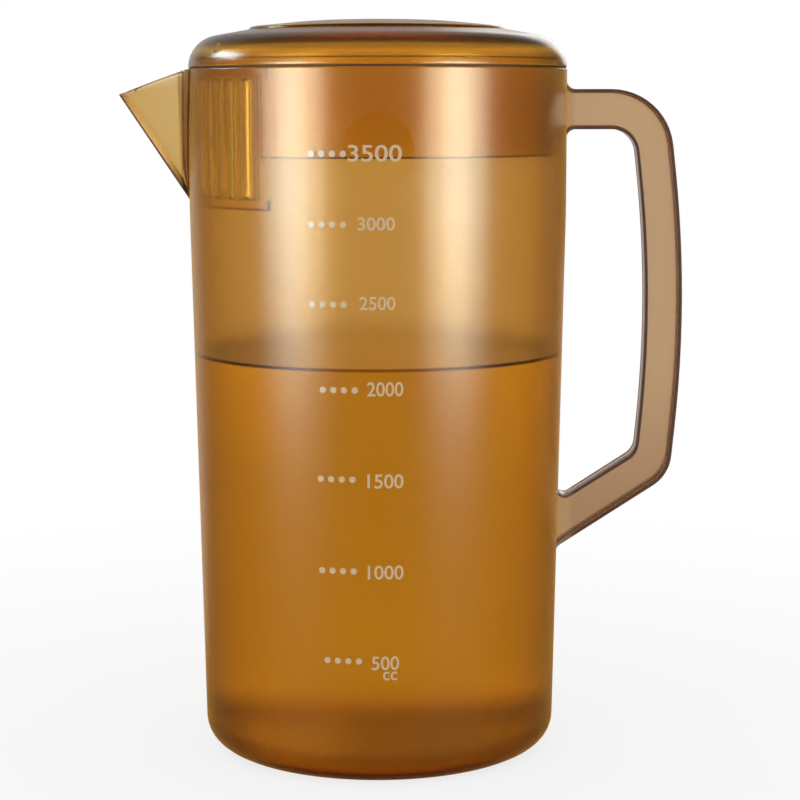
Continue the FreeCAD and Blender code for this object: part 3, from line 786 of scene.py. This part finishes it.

# Skirt: a thin, shiny ring under the lid that slides into the mouth, of the same plastic.
# Its lower edge has painted shade for the dark line it shows, and a window is left open in front of the
# strainer.

rest_turn = -math.pi / 2 - math.radians(55.8)
skirt_low = 233.5
skirt_top = lid_floor - 0.05
skirt_outside = 70.55
skirt_inside = 69.4
skirt_middle = 70.0
skirt_round = 0.5
window_top = 263.5
window_half_width = 23.8
window_half = math.asin(window_half_width / skirt_middle)
skirt_line = rounded_line([
    (skirt_middle, skirt_low, None),
    (skirt_outside, skirt_low, skirt_round),
    (skirt_outside, skirt_top, 0.1),
    (skirt_inside, skirt_top, 0.1),
    (skirt_inside, skirt_low, skirt_round),
    (skirt_middle, skirt_low, None),
], steps=4, rest=0.05)
hair = 1e-4
turns = np.sort(np.concatenate([
    np.linspace(-math.pi, math.pi, 193),
    [-window_half - hair, -window_half, window_half, window_half + hair],
]))
skirt_grid = turned(skirt_line, turns + rest_turn)
in_window = (np.abs(turns) <= window_half)[:, None]
heights = skirt_grid[..., 2]
low_edge = np.where(in_window, window_top + (heights - skirt_low) * 0.05, heights)
skirt_grid[..., 2] = np.maximum(heights, low_edge)
skirt = skin("lid_skirt_ring", skirt_grid, sharp=40.0)
skirt_pale = (0.97, 0.74, 0.20)
skirt_deep = (0.95, 0.70, 0.16)
skirt_rough = (0.20, 0.25)
skirt_edge_shade = (0.22, 0.10, 0.02)
skirt_bend = 1.9
skirt_density = 110.0
clear_skirt = clear_plastic(
    "clear_skirt", 1.0, skirt_bend, skirt_pale, skirt_deep, skirt_rough, lid_glow, skirt_density
)
# Painted shade: the skirt darkens along its lower edge.
paint_shade(clear_skirt, "Z", skirt_low + 0.9, skirt_low + 0.5, skirt_edge_shade)
skirt.data.materials.append(clear_skirt)
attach(skirt, "lid")
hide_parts("lid_skirt")

# Strainer: a curved panel of clear, paler plastic that hangs behind the window, pierced by upright slots.
# Round ribs stand between the slots and catch the light.

panel_outside = 69.3
panel_inside = 67.3
panel_low = 214.3
panel_top = 267.0
panel_half = math.radians(21.2)
slot_pitch = math.radians(6.6)
slot_half = math.radians(1.0)
slot_low = 218.0
slot_top = 262.5
rib_end = 1.2
rib_height = 1.3
rib_half = math.radians(2.1)
slot_middles = (np.arange(6) - 2.5) * slot_pitch
rib_middles = (np.arange(5) - 2.0) * slot_pitch


def pierced_panel():
    """A curved panel on a grid of turn and height: cells are left out at the slots, with walls round them.

    A cell is solid unless its middle lies within a slot. The outer face bulges by a half round at each rib.
    """
    edges = np.concatenate([slot_middles - slot_half, slot_middles + slot_half])
    swell = np.add.outer(rib_middles, rib_half * np.sin(np.linspace(-0.5, 0.5, 13) * math.pi)).ravel()
    turn = np.unique(np.round(np.concatenate([edges, swell, np.linspace(-panel_half, panel_half, 25)]), 6))
    height = np.unique(np.concatenate([
        np.linspace(panel_low, slot_low, 4),
        np.linspace(slot_low, slot_top, 12),
        [slot_low + rib_end, slot_top - rib_end],
        np.linspace(slot_top, panel_top, 4),
    ]))
    middle_turn = (turn[:-1] + turn[1:]) / 2
    middle_height = (height[:-1] + height[1:]) / 2
    in_slot = (np.abs(middle_turn[:, None] - slot_middles) < slot_half).any(axis=1)
    tall = (middle_height > slot_low) & (middle_height < slot_top)
    solid = ~(in_slot[:, None] & tall[None, :])
    away = np.abs(turn[:, None] - rib_middles).min(axis=1) / rib_half
    bulge = rib_height * np.sqrt(np.maximum(0.0, 1 - away ** 2))
    end = np.clip((height - slot_low) / rib_end, 0, 1) * np.clip((slot_top - height) / rib_end, 0, 1)
    r_out = panel_outside + bulge[:, None] * np.sqrt(end)[None, :]
    r_in = np.full(r_out.shape, panel_inside)
    ahead = np.cos(turn + rest_turn)[:, None]
    across = np.sin(turn + rest_turn)[:, None]
    level_grid = np.broadcast_to(height, r_out.shape)
    outer = np.stack([r_out * ahead, r_out * across, level_grid], -1)
    inner = np.stack([r_in * ahead, r_in * across, level_grid], -1)
    rows, columns = r_out.shape
    index = np.arange(rows * columns).reshape(rows, columns)
    back = index + rows * columns
    face = np.stack([index[:-1, :-1], index[1:, :-1], index[1:, 1:], index[:-1, 1:]], -1)
    faces = [face[solid], face[solid] + rows * columns]
    padded = np.pad(solid, 1)
    side = padded[:-1, 1:-1] != padded[1:, 1:-1]
    faces.append(np.stack([index[:, :-1], index[:, 1:], back[:, 1:], back[:, :-1]], -1)[side])
    level = padded[1:-1, :-1] != padded[1:-1, 1:]
    faces.append(np.stack([index[:-1, :], index[1:, :], back[1:, :], back[:-1, :]], -1)[level])
    return np.concatenate([outer.reshape(-1, 3), inner.reshape(-1, 3)]), np.concatenate(faces)


strainer = sew("strainer", *pierced_panel(), sharp=35.0)
soften = strainer.modifiers.new("rounded_edges", "BEVEL")
soften.width = 0.25 * MM
soften.segments = 2
soften.limit_method = "ANGLE"
soften.angle_limit = math.radians(50)
strainer_pale = (0.99, 0.90, 0.52)
strainer_deep = (0.97, 0.86, 0.46)
strainer_rough = (0.05, 0.08)
strainer_edge_shade = (0.35, 0.18, 0.04)
strainer_bend = 1.7
strainer_density = 20.0
crest_clear = 0.25
clear_strainer = clear_plastic(
    "clear_strainer", 0.9, strainer_bend, strainer_pale, strainer_deep, strainer_rough, lid_glow,
    strainer_density,
)
# Painted shade: the panel darkens along its lower edge.
paint_shade(clear_strainer, "Z", panel_low + 0.9, panel_low + 0.5, strainer_edge_shade)
strainer.data.materials.append(clear_strainer)
x, y, z = points_of(strainer)
mark_points(strainer, "rib_crest", np.clip((np.hypot(x, y) - panel_outside) / rib_height, 0.0, 1.0) ** 3)
nodes = clear_strainer.node_tree.nodes
links = clear_strainer.node_tree.links
rib = nodes.new("ShaderNodeAttribute")
rib.attribute_name = "rib_crest"
clearness = nodes["Principled BSDF"].inputs["Transmission Weight"]
links.new(between(nodes, links, rib.outputs["Fac"], 1.0, crest_clear), clearness)
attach(strainer, "lid")
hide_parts("strainer_panel")

# Pointer: a small, rounded nub of the lid's plastic, moulded on its shoulder above the strainer.
# It shows how far to turn the lid to bring the strainer to the spout.

low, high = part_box("lid_pointer")
middle = (np.array(low) + np.array(high)) / 2 / MM
lift = math.radians(34.0)
level = math.cos(lift)
outward = np.array([math.cos(rest_turn) * level, math.sin(rest_turn) * level, math.sin(lift)])
aside = np.array([-math.sin(rest_turn), math.cos(rest_turn), 0.0])
upward = np.cross(outward, aside)


def nub(across, up, out):
    """A rounded block: a superellipsoid of power 4 about its middle, with three half sizes."""
    lon = np.linspace(-math.pi, math.pi, 33)
    lat = np.linspace(-math.pi / 2, math.pi / 2, 17)

    def soft(wave):
        """The square root of a wave, with its sign."""
        return np.sign(wave) * np.abs(wave) ** 0.5

    a = np.outer(soft(np.cos(lon)), soft(np.cos(lat))) * across
    b = np.outer(soft(np.sin(lon)), soft(np.cos(lat))) * up
    c = np.outer(np.ones(33), soft(np.sin(lat))) * out
    return middle + a[..., None] * aside + b[..., None] * upward + c[..., None] * outward


pointer = skin("pointer_nub", nub(across=0.9, up=1.9, out=0.5), sharp=80.0)
pointer.data.materials.append(clear)
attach(pointer, "lid")
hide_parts("lid_pointer")

# Studio: a pale paper floor and a white surround, which shows in the gloss and through the plastic.
# Two soft boxes at the front, each a bright core in a wider glow, and one high at the side light the jug.

floor_ring = rounded_line([(0.0, -0.02, None), (2500.0, -0.02, None)])
floor = skin("floor", turned(floor_ring, np.linspace(0, 2 * math.pi, 97)))
white_side = (-0.33, 0.94, 0.08)
white_back = (-0.1, 0.9, 0.42)
white_left = (-0.3, 0.954, 0.0)
white_right = (0.27, 0.93, 0.25)
clear_floor = (-0.2, 1.0, 0.0)
gloss_floor = (-0.15, 0.99, 0.0)
dark_gloss = 0.03


def sums(nodes, links, operation, first, second):
    """One number from two."""
    node = nodes.new("ShaderNodeMath")
    node.operation = operation
    links.new(first, node.inputs[0])
    links.new(second, node.inputs[1])
    return node.outputs[0]


def graded(nodes, links, vector, toward, low, high, dim, bright=1.0):
    """White on one side: from dim to bright as the way along a direction goes from low to high."""
    along = nodes.new("ShaderNodeVectorMath")
    along.operation = "DOT_PRODUCT"
    along.inputs[1].default_value = toward
    links.new(vector, along.inputs[0])
    ramp = nodes.new("ShaderNodeMapRange")
    ramp.interpolation_type = "SMOOTHSTEP"
    ramp.inputs["From Min"].default_value = low
    ramp.inputs["From Max"].default_value = high
    ramp.inputs["To Min"].default_value = dim
    ramp.inputs["To Max"].default_value = bright
    links.new(along.outputs["Value"], ramp.inputs["Value"])
    return ramp.outputs["Result"]


paper, nodes, links, shader, output = shading("white_paper")
links.new(
    blend_colours(nodes, links, mottle(nodes, links, 12.0), (0.88, 0.88, 0.88), (0.90, 0.90, 0.90)),
    shader.inputs["Base Color"],
)
shader.inputs["Roughness"].default_value = 0.9
shader.inputs["Specular IOR Level"].default_value = 0.0
path = nodes.new("ShaderNodeLightPath")
camera_ray = path.outputs["Is Camera Ray"]
glossy_ray = path.outputs["Is Glossy Ray"]
through_ray = path.outputs["Is Transmission Ray"]
place = nodes.new("ShaderNodeTexCoord")
far = nodes.new("ShaderNodeVectorMath")
far.operation = "LENGTH"
links.new(place.outputs["Object"], far.inputs[0])
fade = nodes.new("ShaderNodeMapRange")
fade.interpolation_type = "SMOOTHSTEP"
fade.inputs["From Min"].default_value = 0.12
fade.inputs["From Max"].default_value = 0.55
fade.inputs["To Min"].default_value = 0.8
fade.inputs["To Max"].default_value = 1.0
links.new(far.outputs["Value"], fade.inputs["Value"])
shown = sums(nodes, links, "MULTIPLY", camera_ray, fade.outputs["Result"])
behind = graded(nodes, links, place.outputs["Object"], clear_floor, low=-0.5, high=-0.15, dim=0.3)
in_depth = sums(nodes, links, "MULTIPLY", through_ray, behind)
bearing = nodes.new("ShaderNodeVectorMath")
bearing.operation = "NORMALIZE"
links.new(place.outputs["Object"], bearing.inputs[0])
direction = bearing.outputs["Vector"]
left_floor = graded(nodes, links, direction, gloss_floor, low=0.7, high=0.95, dim=dark_gloss, bright=0.5)
in_gloss = sums(nodes, links, "MULTIPLY", glossy_ray, left_floor)
level = sums(nodes, links, "MAXIMUM", camera_ray, sums(nodes, links, "MAXIMUM", in_depth, in_gloss))
share = sums(nodes, links, "MAXIMUM", shown, sums(nodes, links, "MAXIMUM", glossy_ray, through_ray))
glow = nodes.new("ShaderNodeEmission")
links.new(level, glow.inputs["Strength"])
mix = nodes.new("ShaderNodeMixShader")
links.new(share, mix.inputs["Fac"])
links.new(shader.outputs[0], mix.inputs[1])
links.new(glow.outputs[0], mix.inputs[2])
links.new(mix.outputs[0], output.inputs["Surface"])
floor.data.materials.append(paper)

world = bpy.data.worlds.new("studio")
bpy.context.scene.world = world
world.use_nodes = True
nodes = world.node_tree.nodes
links = world.node_tree.links
ground = nodes["Background"]
ground.inputs["Color"].default_value = (1.0, 0.985, 0.97, 1.0)
ground.inputs["Strength"].default_value = 0.85
white = nodes.new("ShaderNodeBackground")
white.inputs["Color"].default_value = (1.0, 1.0, 1.0, 1.0)
path = nodes.new("ShaderNodeLightPath")
camera_ray = path.outputs["Is Camera Ray"]
glossy_ray = path.outputs["Is Glossy Ray"]
through_ray = path.outputs["Is Transmission Ray"]
way = nodes.new("ShaderNodeTexCoord").outputs["Generated"]
high_back = graded(nodes, links, way, white_back, low=0.75, high=0.98, dim=dark_gloss, bright=0.4)
left_back = graded(nodes, links, way, white_left, low=0.86, high=0.99, dim=dark_gloss, bright=0.55)
right_back = graded(nodes, links, way, white_right, low=0.96, high=0.99, dim=dark_gloss, bright=2.0)
sides = sums(nodes, links, "MAXIMUM", left_back, right_back)
in_gloss = sums(nodes, links, "MULTIPLY", glossy_ray, sums(nodes, links, "MAXIMUM", high_back, sides))
clear_back = graded(nodes, links, way, white_side, low=-0.3, high=0.7, dim=0.6)
in_depth = sums(nodes, links, "MULTIPLY", through_ray, clear_back)
level = sums(nodes, links, "MAXIMUM", camera_ray, sums(nodes, links, "MAXIMUM", in_gloss, in_depth))
links.new(level, white.inputs["Strength"])
share = sums(nodes, links, "MAXIMUM", camera_ray, sums(nodes, links, "MAXIMUM", glossy_ray, through_ray))
mix = nodes.new("ShaderNodeMixShader")
links.new(share, mix.inputs["Fac"])
links.new(ground.outputs[0], mix.inputs[1])
links.new(white.outputs[0], mix.inputs[2])
links.new(mix.outputs[0], nodes["World Output"].inputs["Surface"])

cool_white = (0.74, 0.95, 1.0)
lit_middle = Vector((0.0, 0.0, 0.17))
box_height = 0.25
box_tall = 0.41
core_distance = 0.9
wide_distance = 0.95


def soft_box(name, turn, distance, height, wide, tall, power):
    """An area light that faces the jug, turned from the camera's side round the jug's axis."""
    lamp = bpy.data.lights.new(name, "AREA")
    lamp.shape = "RECTANGLE"
    lamp.size = wide
    lamp.size_y = tall
    lamp.energy = power
    lamp.color = cool_white
    light = bpy.data.objects.new(name, lamp)
    place = Vector((distance * math.sin(turn), -distance * math.cos(turn), height))
    aim = lit_middle - place
    light.matrix_world = Matrix.Translation(place) @ aim.to_track_quat("-Z", "Y").to_matrix().to_4x4()
    light.visible_camera = False
    light.visible_diffuse = False
    bpy.context.collection.objects.link(light)


for side, turn in (("left", math.radians(-50.0)), ("right", math.radians(47.0))):
    soft_box(f"{side}_core", turn, core_distance, box_height, wide=0.28, tall=box_tall, power=2.0)
    soft_box(f"{side}_wide", turn, wide_distance, box_height, wide=0.66, tall=box_tall, power=4.3)
high_turn = math.radians(-106.0)
soft_box("high_box", high_turn, distance=0.9, height=0.62, wide=0.4, tall=0.2, power=2.4)

# Camera: a long lens a little above the lid's height, in front of the jug, looking slightly down.
# Its place was worked out from the jug's rings, so the jug stands in the picture as in the photograph.

lens = bpy.data.cameras.new("camera")
lens.sensor_width = 36.0
lens.lens = 98.23
camera = bpy.data.objects.new("camera", lens)
eye = Vector((0.00846, -0.8572, 0.2533))
look_down = 7.743
pitch = math.radians(90 - look_down)
roll = math.radians(-0.095)
camera.matrix_world = Matrix.Translation(eye) @ Matrix.Rotation(pitch, 4, "X") @ Matrix.Rotation(roll, 4, "Z")
bpy.context.collection.objects.link(camera)
bpy.context.scene.camera = camera
bpy.context.scene.view_settings.view_transform = "Standard"
